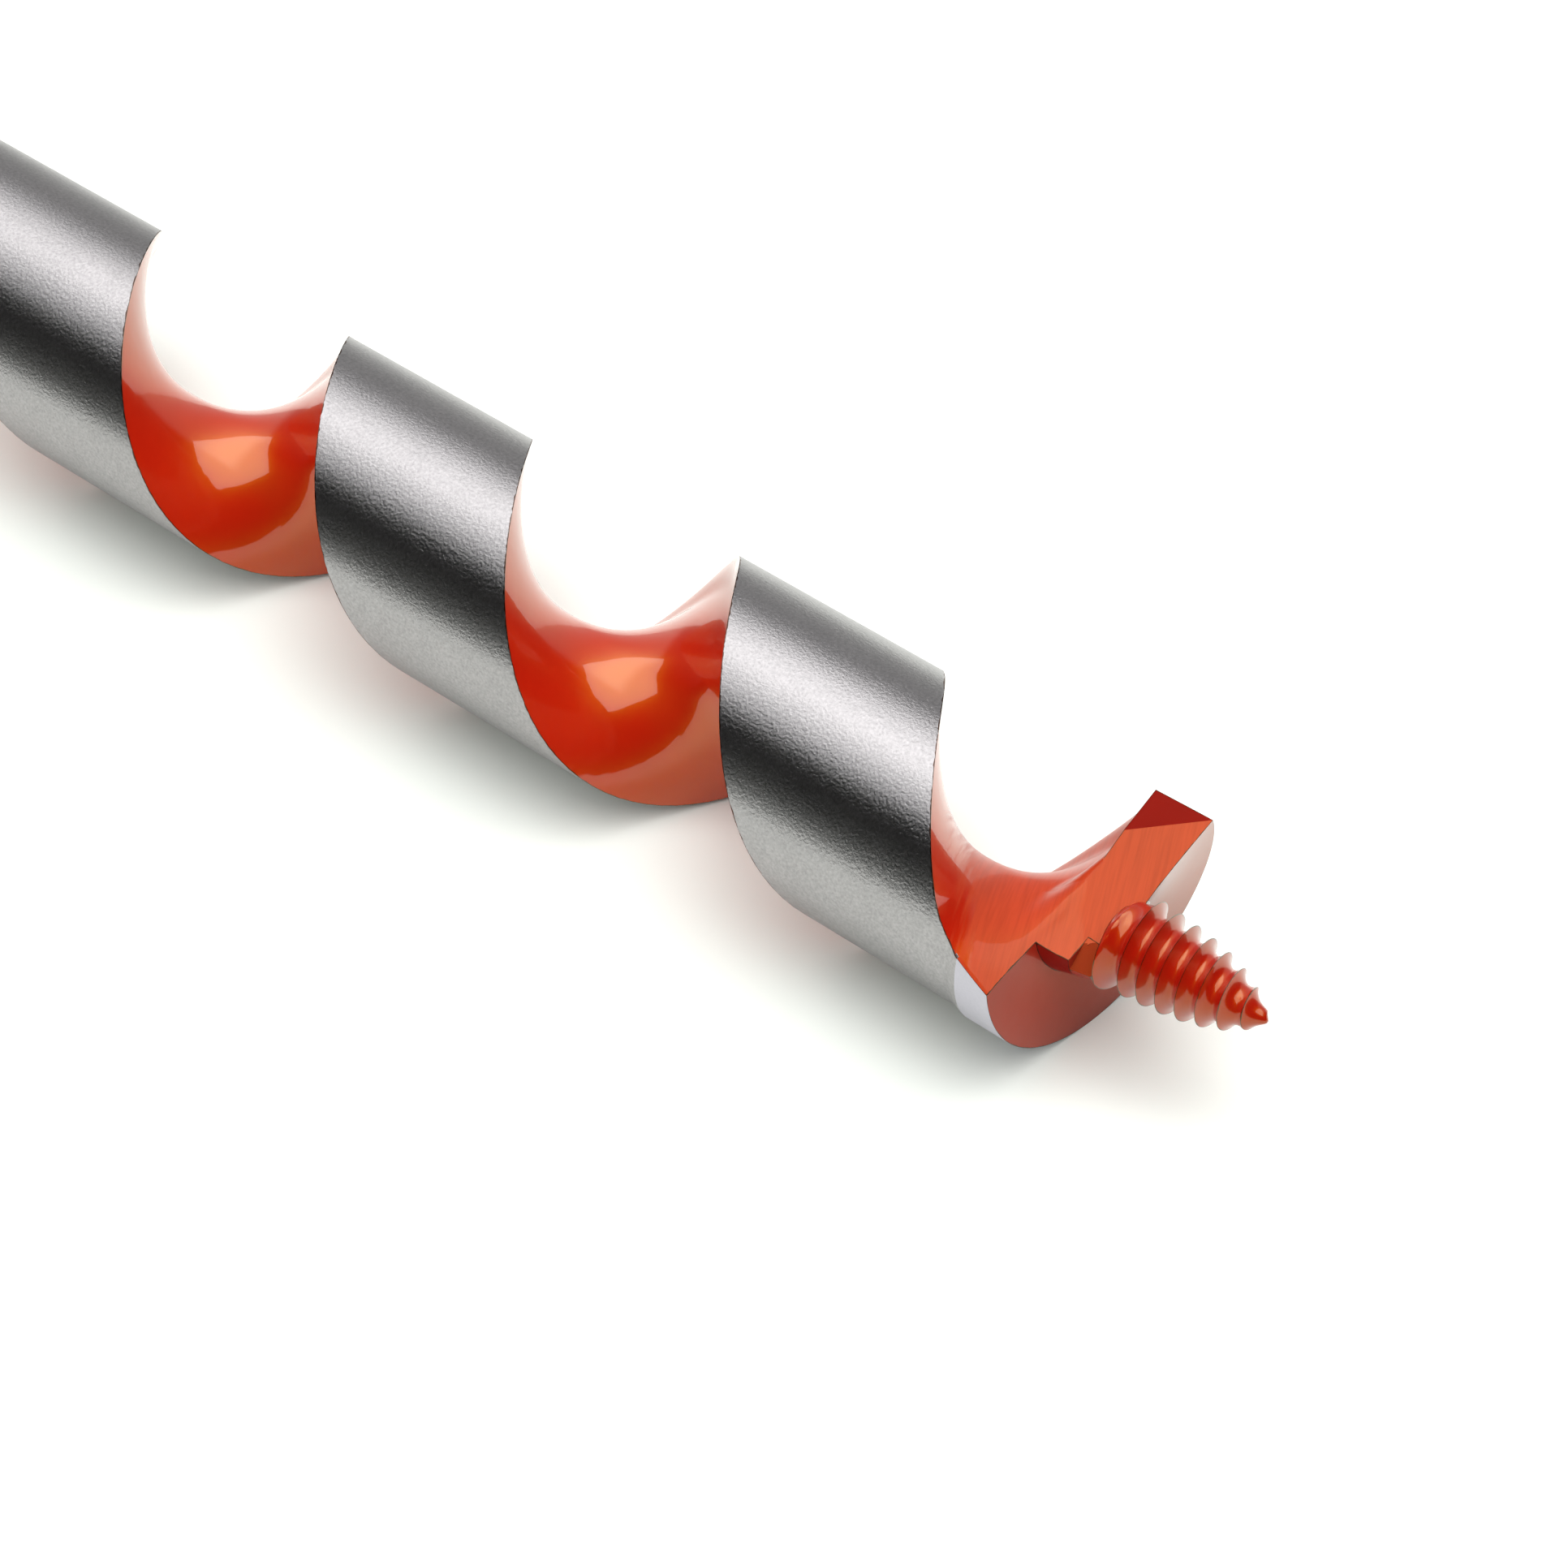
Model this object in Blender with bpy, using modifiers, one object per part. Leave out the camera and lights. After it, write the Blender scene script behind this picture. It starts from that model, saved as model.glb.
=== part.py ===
"""Single-twist ship auger bit for boring timber, lying on its side as it is stored.

The bit runs along X: hexagonal shank at -X, screw point at +X.  It rests on the full-size
ring of its head, and the floor is z = 0.  Four pieces are made: the twist, the cutting head,
the lead screw and the hexagonal shank.  They meet face to face, as welded pieces do.

Every piece is modelled about the bit's own axis, with x = 0 on the seat between twist and
head, and is then placed by its object's location.  Clock angles start straight up and turn
right-handed about +X, which is the way the bit turns at work.
"""
import math

import bmesh
import bpy
from mathutils import Vector

MM = 0.001

# ---- Driving dimensions ----------------------------------------------------------------

# Twist: a half-round bar twisted to the right, which leaves one wide flute beside one land.
TWIST_RADIUS = 15.5 * MM
PITCH = 60.0 * MM
LAND_WIDTH = 29.0 * MM            # along the axis
TWIST_LENGTH = 297.0 * MM         # full-depth flute behind the head's seat
FACE_CROWN = 0.15 * MM            # how far the middle of the flute face stands proud
HOLLOW_DEPTH = 2.3 * MM           # hollow along the trailing side of the flute face
HOLLOW_PLACE = 0.72               # where that hollow is deepest, as a share of the radius
HOLLOW_REACH = 0.05               # how far past the middle it ends, likewise

# Run-out, where the flute grows shallow and the bar narrows to the round neck.
RUNOUT_LENGTH = 26.0 * MM
NECK_RADIUS = 6.5 * MM
NECK_LENGTH = 39.0 * MM           # round stem between the run-out and the shank

# Head: bores the nominal size, so it is a little larger than the twist that follows it.
HEAD_RADIUS = 16.0 * MM
SEAT_EDGE_ANGLE = 88.9            # degrees: the land's leading edge, at the seat
EASE_LENGTH = 2.7 * MM            # the leading half of the face turns slower from here on
EASE_SHARE = 0.38                 # of the twist's own rate
RAKE_ANGLE = 26.9                 # degrees: flat rake face against the flute face at the seat
RAKE_RISE = 1.36 * MM             # rake face above the bit's centre line
CREASE_START = -3.1 * MM          # place across the rake face of the crease at its border:
CREASE_END = 3.3 * MM             # at the back of the wing, and at the foot of the screw
WING_BACK = 4.0 * MM              # seat to the back of the cutting wing
WING_RISE = 1.1 * MM              # length over which the twist swells into the wing's back
WING_LEAN = 2.7                   # degrees: the wing's rim leans back this much from the lip
WING_FACET = 5.9 * MM             # width of the ground facet at the back of the wing
LOW_END = 4.25 * MM               # seat to the low end of the clearance ramp
LIP_HEIGHT = 11.75 * MM           # seat to the outer corner of the cutting lip
LIP_DISH = 1.6 * MM               # how much lower the lip would be at the centre line
RAMP_LEAD_IN = 40.0               # degrees that the grinding runs on before the low end
RAMP_LEAD_OUT = 14.0              # and past the lip
RAMP_INNER = 0.8                  # inner edge of the grinding, of the screw's neck
RAMP_OUTER = 1.3                  # outer edge, of the head's radius

# Boss that carries the lead screw, and the screw itself.
BOSS_RADIUS = 7.1 * MM
BOSS_LENGTH = 6.9 * MM            # seat to the end of the boss's cone
BOSS_ROUND = 1.0 * MM             # start of the cone, before that end
SCREW_SEAT = 7.8 * MM             # seat of the twist to the foot of the screw
SCREW_LENGTH = 21.5 * MM
SCREW_NECK_RADIUS = 3.3 * MM
SCREW_NECK_LENGTH = 1.1 * MM
THREAD_RUN_IN = 0.7 * MM          # the first crest rises from the neck over this length
THREAD_RADIUS = 5.75 * MM         # crest, at the first full turn
THREAD_PITCH = 2.265 * MM
THREAD_DEPTH = 0.26               # of the crest radius
THREAD_TAPER = 0.20               # straight part of the taper, over the whole thread
THREAD_SHOULDER = 0.27            # of a pitch from the crest, where the root's round begins
SHOULDER_DEPTH = 0.8              # of the thread's depth, there
NOSE_ROUND = (4, 0.75)            # powers of the blunt curve that closes the tip
SCREW_CORE = 0.9                  # core under the first turn, of the neck's radius
THREAD_START_ANGLE = 52.6         # degrees: where the first crest leaves the neck
TIP_FLAT_RADIUS = 0.35 * MM
TIP_STEP = 0.02 * MM              # steps in which the place of that flat is found
SCREW_CLEARANCE = 0.35 * MM       # round the first turns, where they run beside the lip
RAKE_RUN_OUT = 2.7 * MM           # the rake face is ground into the screw this far

# Hexagonal shank, for a drill chuck or a quick-change holder.
SHANK_ACROSS_FLATS = 11.1 * MM    # 7/16 inch
SHANK_LENGTH = 66.0 * MM          # weld to tail
COLLAR_LENGTH = 8.0 * MM          # round stretch at the weld
TAIL_CHAMFER = 1.4 * MM
GROOVE_FROM_TAIL = 17.0 * MM
GROOVE_WIDTH = 6.0 * MM
GROOVE_DEPTH = 1.5 * MM           # below the corners of the hexagon
GROOVE_SLOPE = 0.3                # of its width, taken by the sloping sides
COLLAR_CONE = 1.4                 # length of the collar's cone over its height
CONE_FOOT = 0.8                   # foot of that cone, of half the width across flats
FORM_CLEARANCE = 1.3              # radius of the turned form where it leaves the hexagon whole

# Facets.
TURN_FACETS = 31                  # flats in a whole turn of the land, alike in every turn
FACE_STEPS = 9
HEAD_LAND_STEPS = 20
HEAD_FACE_STEPS = 5               # for each half of the head's face
RAMP_STEPS = 44
THREAD_STEPS = 24
TURNED_STEPS = 32
RIDGE_ANGLE = 32.0                # degrees: folds sharper than this stay sharp

# ---- Sizes that follow -----------------------------------------------------------------

LAND_ANGLE = math.tau * LAND_WIDTH / PITCH
FACET_ANGLE = math.tau / TURN_FACETS
EDGE_OFFSET = math.pi - LAND_ANGLE / 2      # from the way the face looks to a land edge
WELD_X = -(TWIST_LENGTH + RUNOUT_LENGTH + NECK_LENGTH)
TAIL_X = WELD_X - SHANK_LENGTH
TIP_X = SCREW_SEAT + SCREW_LENGTH
SEAT_TURN = math.radians(SEAT_EDGE_ANGLE) - EDGE_OFFSET     # the way the face looks there
RAKE_TURN = SEAT_TURN + math.radians(RAKE_ANGLE)
LIP_ANGLE = RAKE_TURN - math.pi / 2 + math.asin(RAKE_RISE / HEAD_RADIUS)
LIP_CORNER = math.sqrt(HEAD_RADIUS ** 2 - RAKE_RISE ** 2)   # across the rake face
AXIS_HEIGHT = HEAD_RADIUS
HEAD_SCALE = HEAD_RADIUS / TWIST_RADIUS
CENTRE_X = -(TAIL_X + TIP_X) / 2            # moves the middle of the bit to x = 0


def remove_everything():
    for old in list(bpy.data.objects):
        bpy.data.objects.remove(old, do_unlink=True)


def collection(name):
    made = bpy.data.collections.new(name)
    bpy.context.scene.collection.children.link(made)
    return made


def finish(name, colour, roughness, metallic):
    """A Principled material in the colour of the piece."""
    made = bpy.data.materials.new(name)
    made.use_nodes = True
    shader = made.node_tree.nodes["Principled BSDF"]
    shader.inputs["Base Color"].default_value = (*colour, 1.0)
    shader.inputs["Roughness"].default_value = roughness
    shader.inputs["Metallic"].default_value = metallic
    return made


def place(name, mesh, home):
    """Object on the bit's axis, in its collection."""
    made = bpy.data.objects.new(name, mesh)
    made.location = (CENTRE_X, 0.0, AXIS_HEIGHT)
    home.objects.link(made)
    return made


def as_cutter(made):
    made.hide_render = True
    made.display_type = "WIRE"
    return made


def to_mesh(name, bm):
    """Mesh of a bmesh, faces outwards, smooth with sharp ridges."""
    bmesh.ops.recalc_face_normals(bm, faces=bm.faces)
    mesh = bpy.data.meshes.new(name)
    bm.to_mesh(mesh)
    bm.free()
    mesh.shade_smooth()
    mesh.set_sharp_from_angle(angle=math.radians(RIDGE_ANGLE))
    return mesh


def boolean(made, operation, other):
    cut = made.modifiers.new(operation.lower() + "_" + other.name, "BOOLEAN")
    cut.operation = operation
    cut.object = other
    cut.solver = "EXACT"


def smooth(share):
    """Ease from 0 to 1."""
    share = min(max(share, 0.0), 1.0)
    return share * share * (3 - 2 * share)


def at_clock(angle):
    """Unit direction across the axis: straight up at 0, turning right-handed about +X."""
    return Vector((0.0, -math.sin(angle), math.cos(angle)))


def loft(name, rings):
    """Closed body through rings of points, each triangle side along the axis on the land."""
    bm = bmesh.new()
    made = [[bm.verts.new(point) for point in ring] for ring in rings]
    count = len(made[0])
    for near, far in zip(made, made[1:]):
        for i in range(count):
            j = (i + 1) % count
            bm.faces.new((near[i], near[j], far[i]))
            bm.faces.new((near[j], far[j], far[i]))
    bm.faces.new(made[0])
    bm.faces.new(made[-1])
    return to_mesh(name, bm)


def turned(name, profile, home):
    """Body turned about the axis; the profile is (x, radius) from the +X end to the -X end."""
    mesh = bpy.data.meshes.new(name)
    points = [(x, 0.0, radius) for x, radius in profile]
    edges = [(i, i + 1) for i in range(len(points) - 1)]
    mesh.from_pydata(points, edges, [])
    made = place(name, mesh, home)
    screw = made.modifiers.new("turn", "SCREW")
    screw.axis = "X"
    screw.steps = TURNED_STEPS
    screw.render_steps = TURNED_STEPS
    screw.use_merge_vertices = True
    screw.merge_threshold = 0.00001
    return made


# ---- Section of the twisted bar ----------------------------------------------------------

def face_turn(x):
    """The way the flute face looks at x, on the plain twist."""
    return SEAT_TURN + math.tau * x / PITCH


def leading_turn(x):
    """The same for the leading half of the face, which turns slower close to the head."""
    if x < -EASE_LENGTH:
        return face_turn(x)
    start = face_turn(-EASE_LENGTH)
    return start + EASE_SHARE * (face_turn(x) - start)


def face_height(across):
    """Height of the flute face over the diameter, from -1 at the trailing edge to +1."""
    edge = math.cos(EDGE_OFFSET) * TWIST_RADIUS
    height = edge + (FACE_CROWN - edge) * (1 - across ** 4)
    if across < -HOLLOW_PLACE:
        share = (across + 1) / (1 - HOLLOW_PLACE)
    else:
        share = 1 - (across + HOLLOW_PLACE) / (HOLLOW_PLACE + HOLLOW_REACH)
    return height - HOLLOW_DEPTH * smooth(share)


def face_point(x, turn, across, height):
    return at_clock(turn + math.pi / 2) * across + at_clock(turn) * height + Vector((x, 0, 0))


def land_points(x, radius, angles):
    """Points round the land, from its leading edge to its trailing edge."""
    return [at_clock(angle) * radius + Vector((x, 0, 0)) for angle in angles]


def twist_ring(x):
    """Section of the twist; towards the shank it closes up to the round neck."""
    close = smooth((-TWIST_LENGTH - x) / RUNOUT_LENGTH)
    radius = TWIST_RADIUS + (NECK_RADIUS - TWIST_RADIUS) * close
    first = face_turn(x) + EDGE_OFFSET
    trail = face_turn(x) - EDGE_OFFSET + math.tau
    between = [first + FACET_ANGLE * i for i in range(1, round(LAND_ANGLE / FACET_ANGLE))]
    ring = land_points(x, radius, [leading_turn(x) + EDGE_OFFSET, *between, trail])
    for i in range(1, FACE_STEPS):
        across = -math.cos(math.pi * i / FACE_STEPS)
        flute = face_height(across) / TWIST_RADIUS
        closed = math.sqrt(1 - across ** 2)
        height = flute + (closed - flute) * close
        turn = leading_turn(x) if across > 0 else face_turn(x)
        ring.append(face_point(x, turn, across * radius, height * radius))
    return ring


def make_twist(home, paint):
    fluted = TWIST_LENGTH + RUNOUT_LENGTH
    step = PITCH / TURN_FACETS
    stations = [-fluted] + [-step * i for i in range(math.ceil(fluted / step - 0.5), -1, -1)]
    rings = [twist_ring(x) for x in stations]
    neck_end = [Vector((WELD_X, point.y, point.z)) for point in rings[0]]
    mesh = loft("twist_body", [neck_end] + rings)
    made = place("twist_body", mesh, home)
    mesh.materials.append(paint)
    return made


# ---- Cutting head --------------------------------------------------------------------------

def wing_share(x):
    """From 0 at the back of the wing to 1 at the lip."""
    return min(max((x - WING_BACK) / (LIP_HEIGHT - WING_BACK), 0.0), 1.0)


def rake_crease(x):
    """Where the flat rake face borders on the leading half of the flute face."""
    share = min(max((x - WING_BACK) / (SCREW_SEAT - WING_BACK), 0.0), 1.0)
    across = CREASE_START + (CREASE_END - CREASE_START) * share
    return face_point(x, RAKE_TURN, across, RAKE_RISE)


def head_ring(x):
    """Section of the head's blank: twisted bar at the seat, flat cutting wing at the lip."""
    turn = min(face_turn(x), RAKE_TURN)
    wing = smooth((x - WING_BACK + WING_RISE) / WING_RISE)
    lead = leading_turn(x) + EDGE_OFFSET
    twisted_trail = face_turn(min(x, WING_BACK)) - EDGE_OFFSET
    wing_trail = LIP_ANGLE - math.radians(WING_LEAN) * (1 - wing_share(x))
    trail = twisted_trail + (wing_trail - twisted_trail) * wing + math.tau
    steps = [i / HEAD_LAND_STEPS for i in range(HEAD_LAND_STEPS + 1)]
    ring = land_points(x, HEAD_RADIUS, [lead + (trail - lead) * share for share in steps])
    facet = LIP_CORNER - WING_FACET * (1 - wing_share(x))
    fold = face_point(x, RAKE_TURN, -facet, RAKE_RISE)
    crease = rake_crease(x)
    for i in range(1, HEAD_FACE_STEPS + 1):
        across = i / HEAD_FACE_STEPS - 1
        inward = (i - 1) / (HEAD_FACE_STEPS - 1)
        # The wing's back is steep at the rim; towards the axis the flute rises to it gently.
        start = (WING_BACK - WING_RISE) * (1 - inward)
        rise = smooth((x - start) / (WING_BACK - start))
        twisted = face_point(x, turn, across * HEAD_RADIUS, face_height(across) * HEAD_SCALE)
        ring.append(twisted.lerp(fold.lerp(crease, inward), rise))
    # From the crease the face falls back in a hollow to the plain flute.
    out = at_clock(leading_turn(x) + math.pi / 2)
    middle = ring[-1] - Vector((x, 0, 0))
    start = middle.dot(out) / HEAD_RADIUS
    excess = middle.dot(at_clock(leading_turn(x))) - face_height(start) * HEAD_SCALE
    for i in range(1, HEAD_FACE_STEPS):
        share = i / HEAD_FACE_STEPS
        across = start + (1 - start) * share
        height = face_height(across) * HEAD_SCALE + excess * (1 - share) ** 2
        ring.append(face_point(x, leading_turn(x), across * HEAD_RADIUS, height))
    return ring


def boss_profile(reach):
    """Round boss with a coned end, from the axis at +X back to the axis at -reach."""
    top = SCREW_SEAT + SCREW_NECK_LENGTH / 2
    return [(top, 0.0), (top, SCREW_NECK_RADIUS), (SCREW_SEAT, SCREW_NECK_RADIUS),
            (BOSS_LENGTH, BOSS_RADIUS - BOSS_ROUND / 2), (BOSS_LENGTH - BOSS_ROUND, BOSS_RADIUS),
            (-reach, BOSS_RADIUS), (-reach, 0.0)]


def make_ramp_cutter(home):
    """Takes away what lies ahead of the clearance ramp, all but the boss round the screw."""
    low_angle = leading_turn(LOW_END) + EDGE_OFFSET
    lip_angle = LIP_ANGLE + math.tau
    first = low_angle - math.radians(RAMP_LEAD_IN)
    last = lip_angle + math.radians(RAMP_LEAD_OUT)
    top = LIP_HEIGHT + BOSS_LENGTH
    rings = []
    for i in range(RAMP_STEPS + 1):
        angle = first + (last - first) * i / RAMP_STEPS
        share = (angle - low_angle) / (lip_angle - low_angle)
        rim = LOW_END + (LIP_HEIGHT - LOW_END) * share
        out = at_clock(angle)
        ring = []
        for radius in (SCREW_NECK_RADIUS * RAMP_INNER, BOSS_RADIUS,
                       HEAD_RADIUS * RAMP_OUTER):
            dish = LIP_DISH * share * (1 - radius / HEAD_RADIUS)
            ring.append(out * radius + Vector((rim - dish, 0, 0)))
        for corner in (ring[-1], ring[0]):
            ring.append(Vector((top, corner.y, corner.z)))
        rings.append(ring)
    cutter = as_cutter(place("ramp_cutter", loft("ramp_cutter", rings), home))
    boss = as_cutter(turned("boss_form", boss_profile(BOSS_LENGTH), home))
    boolean(cutter, "DIFFERENCE", boss)
    return cutter


def make_head(home, cutters, paint):
    blend = WING_BACK - WING_RISE
    stations = [0.0, blend / 3, blend * 2 / 3, blend, WING_BACK - WING_RISE / 2, WING_BACK,
                (WING_BACK + LIP_HEIGHT) / 2, LIP_HEIGHT, LIP_HEIGHT + WING_RISE]
    mesh = loft("cutting_head", [head_ring(x) for x in stations])
    made = place("cutting_head", mesh, home)
    mesh.materials.append(paint)
    boolean(made, "DIFFERENCE", make_ramp_cutter(cutters))
    neck_end = SCREW_SEAT + SCREW_NECK_LENGTH
    snug = SCREW_NECK_RADIUS + SCREW_CLEARANCE
    wide = THREAD_RADIUS + SCREW_CLEARANCE
    far = LIP_HEIGHT + 2 * WING_RISE
    profile = [(far, 0.0), (far, wide), (neck_end + THREAD_RUN_IN, wide), (neck_end, snug),
               (SCREW_SEAT, snug), (SCREW_SEAT, 0.0)]
    boolean(made, "DIFFERENCE", as_cutter(turned("screw_pocket", profile, cutters)))
    return made


# ---- Lead screw ------------------------------------------------------------------------------

def crest_radius(x):
    """Crest of the thread: rises from the neck, tapers a little, ends in a blunt nose."""
    foot = SCREW_SEAT + SCREW_NECK_LENGTH
    share = min(max((x - foot) / (TIP_X - foot), 0.0), 1.0)
    full = THREAD_RADIUS * (1 - THREAD_TAPER * share) * (1 - share ** NOSE_ROUND[0]) ** NOSE_ROUND[1]
    rise = min(max((x - foot) / THREAD_RUN_IN, 0.0), 1.0)
    start = SCREW_NECK_RADIUS / THREAD_RADIUS
    return full * (start + (1 - start) * rise)


def make_lead_screw(home, cutters, paint):
    foot = SCREW_SEAT + SCREW_NECK_LENGTH
    # One turn of the profile: sharp crest, flank, rounded root, flank.
    shoulder = 1 - SHOULDER_DEPTH * THREAD_DEPTH
    turn = [(0.0, 1.0), (THREAD_SHOULDER, shoulder), (0.5, 1 - THREAD_DEPTH),
            (1 - THREAD_SHOULDER, shoulder)]
    first = foot - THREAD_PITCH * (THREAD_START_ANGLE / 360 + 1)
    count = math.ceil((TIP_X - first) / THREAD_PITCH) + 1
    bm = bmesh.new()
    line = []
    for i in range(count):
        for share, radius in turn:
            line.append(bm.verts.new((first + THREAD_PITCH * (i + share), 0.0, radius)))
    edges = [bm.edges.new(pair) for pair in zip(line, line[1:])]
    bmesh.ops.spin(bm, geom=line + edges, cent=(0, 0, 0), axis=(1, 0, 0), angle=math.tau,
                   steps=THREAD_STEPS, dvec=(THREAD_PITCH / THREAD_STEPS, 0, 0))
    bmesh.ops.remove_doubles(bm, verts=bm.verts, dist=0.00001)
    tip = TIP_X
    while crest_radius(tip) < TIP_FLAT_RADIUS:
        tip -= TIP_STEP
    for x, side in ((foot, -1), (tip, 1)):
        geometry = bm.verts[:] + bm.edges[:] + bm.faces[:]
        bmesh.ops.bisect_plane(bm, geom=geometry, plane_co=(x, 0, 0), plane_no=(side, 0, 0),
                               dist=0.000001, clear_outer=True)
    rim = [edge for edge in bm.edges if edge.is_boundary]
    bmesh.ops.holes_fill(bm, edges=rim, sides=0)
    for vert in bm.verts:
        taper = crest_radius(vert.co.x)
        vert.co.y *= taper
        vert.co.z *= taper
        vert.co.x = foot + (vert.co.x - foot) * (TIP_X - foot) / (tip - foot)
    mesh = to_mesh("lead_screw", bm)
    made = place("lead_screw", mesh, home)
    mesh.materials.append(paint)
    inside = foot + THREAD_PITCH
    core = SCREW_NECK_RADIUS * SCREW_CORE
    profile = [(inside, 0.0), (inside, core), (foot, SCREW_NECK_RADIUS),
               (SCREW_SEAT, SCREW_NECK_RADIUS), (SCREW_SEAT, 0.0)]
    boolean(made, "UNION", as_cutter(turned("screw_neck", profile, cutters)))
    boolean(made, "DIFFERENCE", make_rake_cutter(cutters))
    return made


def make_rake_cutter(home):
    """The rake face is ground across the neck and the first turn of the screw."""
    start = SCREW_SEAT - THREAD_PITCH
    stop = SCREW_SEAT + RAKE_RUN_OUT
    rings = []
    for x in (start, stop):
        rings.append([face_point(x, RAKE_TURN, across * HEAD_RADIUS, height)
                      for across, height in ((-1, RAKE_RISE), (1, RAKE_RISE),
                                             (1, HEAD_RADIUS), (-1, HEAD_RADIUS))])
    return as_cutter(place("rake_cutter", loft("rake_cutter", rings), home))


# ---- Hexagonal shank ---------------------------------------------------------------------------

def make_shank(home, cutters, steel):
    corner = SHANK_ACROSS_FLATS / 2 / math.cos(math.pi / 6)
    collar_end = WELD_X - COLLAR_LENGTH
    bm = bmesh.new()
    bmesh.ops.create_cone(bm, cap_ends=True, segments=6, radius1=corner, radius2=corner,
                          depth=1.0)
    length = SHANK_LENGTH - COLLAR_LENGTH / 2
    for vert in bm.verts:
        along = TAIL_X + length * (vert.co.z + 0.5)
        vert.co = Vector((along, vert.co.y, vert.co.x))
    mesh = to_mesh("hex_shank", bm)
    made = place("hex_shank", mesh, home)
    mesh.materials.append(steel)
    groove = TAIL_X + GROOVE_FROM_TAIL
    clear = FORM_CLEARANCE * corner
    slope = GROOVE_SLOPE * GROOVE_WIDTH
    profile = [(WELD_X, 0.0), (WELD_X, clear), (groove + GROOVE_WIDTH / 2, clear),
               (groove + GROOVE_WIDTH / 2, corner)]
    for i in range(7):
        angle = math.pi * i / 6
        profile.append((groove + (GROOVE_WIDTH / 2 - slope / 2) * math.cos(angle),
                        corner - GROOVE_DEPTH * math.sin(angle)))
    profile += [(groove - GROOVE_WIDTH / 2, corner), (groove - GROOVE_WIDTH / 2, clear),
                (TAIL_X + TAIL_CHAMFER, clear), (TAIL_X + TAIL_CHAMFER, corner),
                (TAIL_X, corner - TAIL_CHAMFER), (TAIL_X, 0.0)]
    boolean(made, "INTERSECT", as_cutter(turned("shank_form", profile, cutters)))
    foot = CONE_FOOT * SHANK_ACROSS_FLATS / 2
    cone = (NECK_RADIUS - foot) * COLLAR_CONE
    profile = [(WELD_X, 0.0), (WELD_X, NECK_RADIUS), (collar_end, NECK_RADIUS),
               (collar_end - cone, foot), (collar_end - cone, 0.0)]
    boolean(made, "UNION", as_cutter(turned("shank_collar", profile, cutters)))
    return made


remove_everything()
bit = collection("auger_bit")
cutters = collection("cutters")
lacquer = finish("red_lacquer", (0.50, 0.015, 0.003), 0.18, 0.0)
screw_lacquer = finish("red_lacquer_screw", (0.42, 0.012, 0.003), 0.2, 0.0)
ground_steel = finish("ground_steel", (0.50, 0.50, 0.49), 0.35, 1.0)
shank_steel = finish("shank_steel", (0.36, 0.36, 0.37), 0.4, 1.0)
make_twist(bit, ground_steel)
make_head(bit, cutters, lacquer)
make_lead_screw(bit, cutters, screw_lacquer)
make_shank(bit, cutters, shank_steel)
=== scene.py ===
"""Ship auger bit on a white studio table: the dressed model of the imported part."""
import math

import bmesh
import bpy
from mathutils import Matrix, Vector, kdtree


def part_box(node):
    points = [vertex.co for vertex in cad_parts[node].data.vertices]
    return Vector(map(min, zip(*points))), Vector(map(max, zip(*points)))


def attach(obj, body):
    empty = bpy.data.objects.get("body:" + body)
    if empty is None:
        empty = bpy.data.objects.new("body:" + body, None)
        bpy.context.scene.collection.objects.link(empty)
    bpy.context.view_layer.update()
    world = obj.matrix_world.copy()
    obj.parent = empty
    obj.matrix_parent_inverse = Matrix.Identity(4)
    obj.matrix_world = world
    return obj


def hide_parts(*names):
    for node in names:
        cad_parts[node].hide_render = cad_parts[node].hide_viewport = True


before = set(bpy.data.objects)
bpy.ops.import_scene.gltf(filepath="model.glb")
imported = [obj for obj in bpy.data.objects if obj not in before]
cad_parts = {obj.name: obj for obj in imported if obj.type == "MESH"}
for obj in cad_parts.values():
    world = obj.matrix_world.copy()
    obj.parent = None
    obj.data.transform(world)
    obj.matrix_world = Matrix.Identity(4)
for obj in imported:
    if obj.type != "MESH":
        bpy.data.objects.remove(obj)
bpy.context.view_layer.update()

# ---- Twist -----------------------------------------------------------------------------------
# A half-round bar of tool steel, twisted hot to the right, which leaves one wide flute.
# It is dipped in red lacquer, and the land is then ground round to size and blasted matt,
# so bare steel meets the lacquer along two sharp spiral edges.  It narrows to a round neck.

MM = 0.001
TWIST_RADIUS = 15.5 * MM
PITCH = 60.0 * MM
TWIST_LENGTH = 297.0 * MM
HEAD_PROUD = 0.5 * MM                       # the head's land stands proud of the twist's
PROUD_BLEND = 1.6 * MM
RUNOUT_LENGTH = 26.0 * MM
NECK_RADIUS = 6.5 * MM
LAND_ANGLE = math.tau * 29.0 / 60.0         # the land is 29 mm wide along the axis
FACE_CROWN = 0.15 * MM
FACE_POWER = 4                              # how late the flute's face falls off to its edges
HOLLOW_DEPTH = 2.3 * MM                     # along the trailing side of the flute
HOLLOW_PLACE = 0.72                         # of the radius
HOLLOW_REACH = 0.05                         # how far past the middle it ends
EASE_LENGTH = 2.7 * MM                      # the leading edge turns slower from here on
EASE_BLEND = 2.2 * MM
EASE_SHARE = 0.38                           # of the twist's own rate
EASE_STEPS = 12
EDGE_OFFSET = math.pi - LAND_ANGLE / 2
SEAT_TURN = math.radians(88.9) - EDGE_OFFSET
SECTION_STEPS = 120
STEP = 1.0 * MM
CIRCLE_SHARE = 0.7                          # how much the points bunch towards the edges
LAND_FROM = TWIST_RADIUS * 0.999            # points as far out as this are on the land
JOIN = 0.001 * MM                           # points closer than this are one point
CUT_JOIN = 0.002 * MM                       # and the same after a cut
SEAT = Vector((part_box("twist_body")[1][0], 0.0,
               (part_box("hex_shank")[0][2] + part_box("hex_shank")[1][2]) / 2))
WELD_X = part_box("twist_body")[0][0] - SEAT.x


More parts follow.
